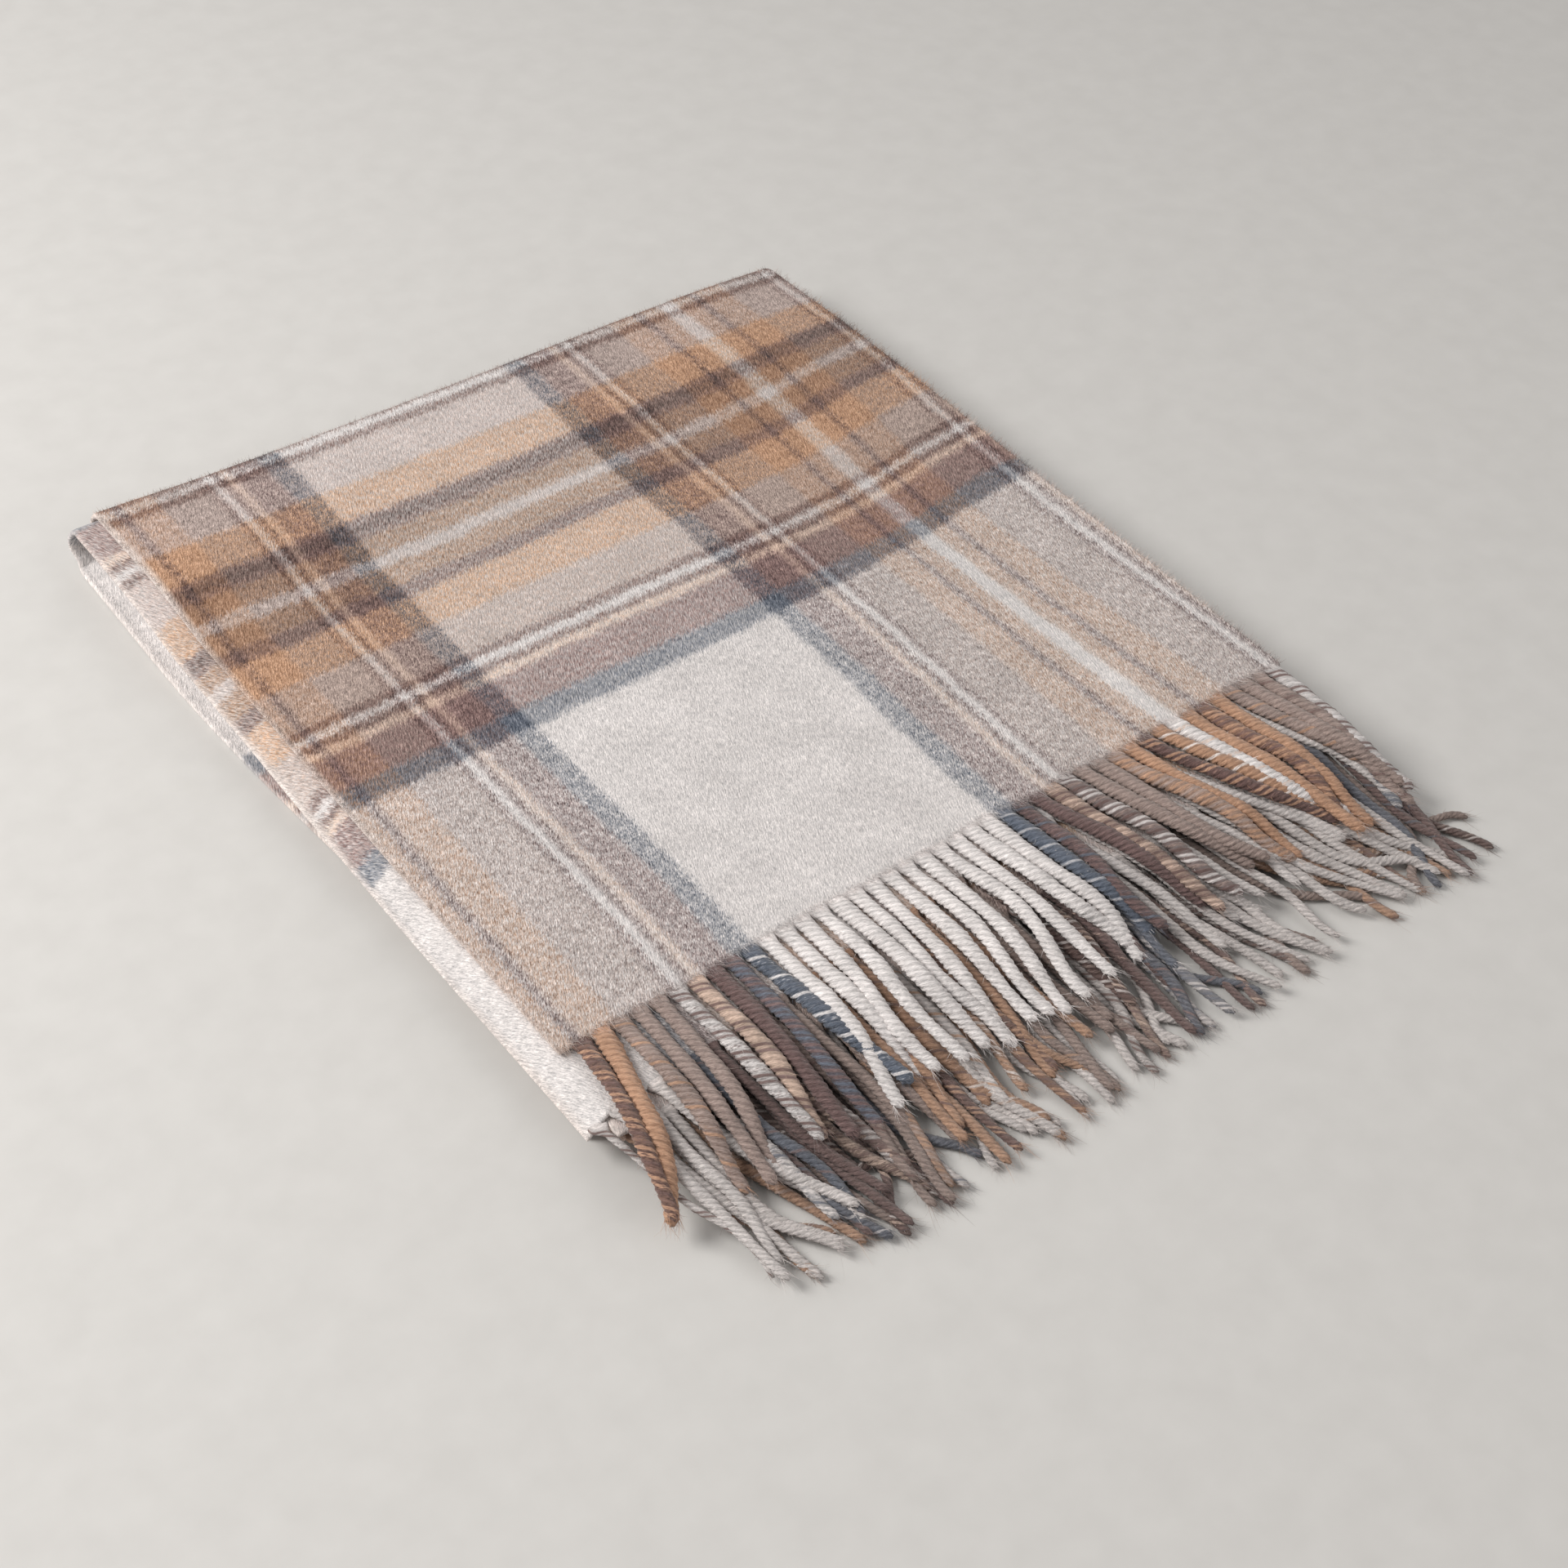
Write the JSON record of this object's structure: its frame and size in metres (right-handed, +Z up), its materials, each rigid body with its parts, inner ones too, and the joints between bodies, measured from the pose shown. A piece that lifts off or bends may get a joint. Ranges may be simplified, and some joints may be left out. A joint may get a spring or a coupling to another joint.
{
  "type": "folded throw blanket",
  "caption": "Checked brushed-wool throw folded into a flat rectangle, with twisted tassels along its fringed ends, which lies on a surface and opens out at its back fold.",
  "frame": {"origin": "centre of the underside of the whole folded throw, on the surface it lies on", "axes": "+X along the back fold towards the side fold, +Y towards the back fold with the fringe on -Y, +Z up from the surface"},
  "size_m": [0.373, 0.485, 0.0244],
  "materials": {
    "woven_cloth": "brushed wool twill in a soft check of off-white, taupe, camel, brown and blue-grey",
    "white_yarn": "off-white two-strand twisted wool tassel",
    "camel_yarn": "camel two-strand twisted wool tassel",
    "taupe_yarn": "taupe two-strand twisted wool tassel",
    "brown_yarn": "dark brown two-strand twisted wool tassel, some with a light strand",
    "blue_yarn": "blue-grey two-strand twisted wool tassel, some with a light strand"
  },
  "bodies": {
    "lower_half": {"front_fold_corner": "woven_cloth", "front_fold_lower_breadth": "woven_cloth", "front_fold_upper_breadth": "woven_cloth", "inner_back_fold_corner": "woven_cloth", "inner_back_fold_lower_breadth": "woven_cloth", "inner_back_fold_upper_breadth": "woven_cloth", "leaf_3_lower_breadth": "woven_cloth", "leaf_3_side_fold": "woven_cloth", "leaf_3_upper_breadth": "woven_cloth", "leaf_4_lower_breadth": "woven_cloth", "leaf_4_side_fold": "woven_cloth", "leaf_4_upper_breadth": "woven_cloth", "outer_back_fold_corner": "woven_cloth", "outer_back_fold_lower_breadth": "woven_cloth", "outer_back_fold_upper_breadth": "woven_cloth"},
    "upper_half": {"leaf_1_lower_breadth": "woven_cloth", "leaf_1_side_fold": "woven_cloth", "leaf_1_upper_breadth": "woven_cloth", "leaf_2_lower_breadth": "woven_cloth", "leaf_2_side_fold": "woven_cloth", "leaf_2_upper_breadth": "woven_cloth"},
    "top_fringe": {"leaf_1_lower_blue_tassels": "blue_yarn", "leaf_1_lower_brown_tassels": "brown_yarn", "leaf_1_lower_camel_tassels": "camel_yarn", "leaf_1_lower_taupe_tassels": "taupe_yarn", "leaf_1_lower_white_tassels": "white_yarn", "leaf_1_upper_blue_tassels": "blue_yarn", "leaf_1_upper_brown_tassels": "brown_yarn", "leaf_1_upper_camel_tassels": "camel_yarn", "leaf_1_upper_taupe_tassels": "taupe_yarn", "leaf_1_upper_white_tassels": "white_yarn"},
    "under_fringe": {"leaf_2_lower_blue_tassels": "blue_yarn", "leaf_2_lower_brown_tassels": "brown_yarn", "leaf_2_lower_camel_tassels": "camel_yarn", "leaf_2_lower_taupe_tassels": "taupe_yarn", "leaf_2_lower_white_tassels": "white_yarn", "leaf_2_upper_blue_tassels": "blue_yarn", "leaf_2_upper_brown_tassels": "brown_yarn", "leaf_2_upper_camel_tassels": "camel_yarn", "leaf_2_upper_taupe_tassels": "taupe_yarn", "leaf_2_upper_white_tassels": "white_yarn"}
  },
  "joints": [
    {"name": "back_fold", "type": "hinge", "parent": "lower_half", "child": "upper_half", "pos_m": [0, 0.23115, 0.01135], "axis": [-1, 0, 0], "range_deg": [0, 180], "deforming": ["inner_back_fold_corner", "inner_back_fold_lower_breadth", "inner_back_fold_upper_breadth", "outer_back_fold_corner", "outer_back_fold_lower_breadth", "outer_back_fold_upper_breadth"]},
    {"name": "top_fringe_settle", "type": "hinge", "parent": "upper_half", "child": "top_fringe", "pos_m": [0, -0.1182, 0.0212], "axis": [-1, 0, 0], "range_deg": [0, 8]},
    {"name": "under_fringe_settle", "type": "hinge", "parent": "upper_half", "child": "under_fringe", "pos_m": [0, -0.15657, 0.0152], "axis": [-1, 0, 0], "range_deg": [0, 8]}
  ],
  "couplings": [
    {"joint": "top_fringe_settle", "follows": "back_fold", "ratio": 0.044444},
    {"joint": "under_fringe_settle", "follows": "back_fold", "ratio": 0.044444}
  ]
}
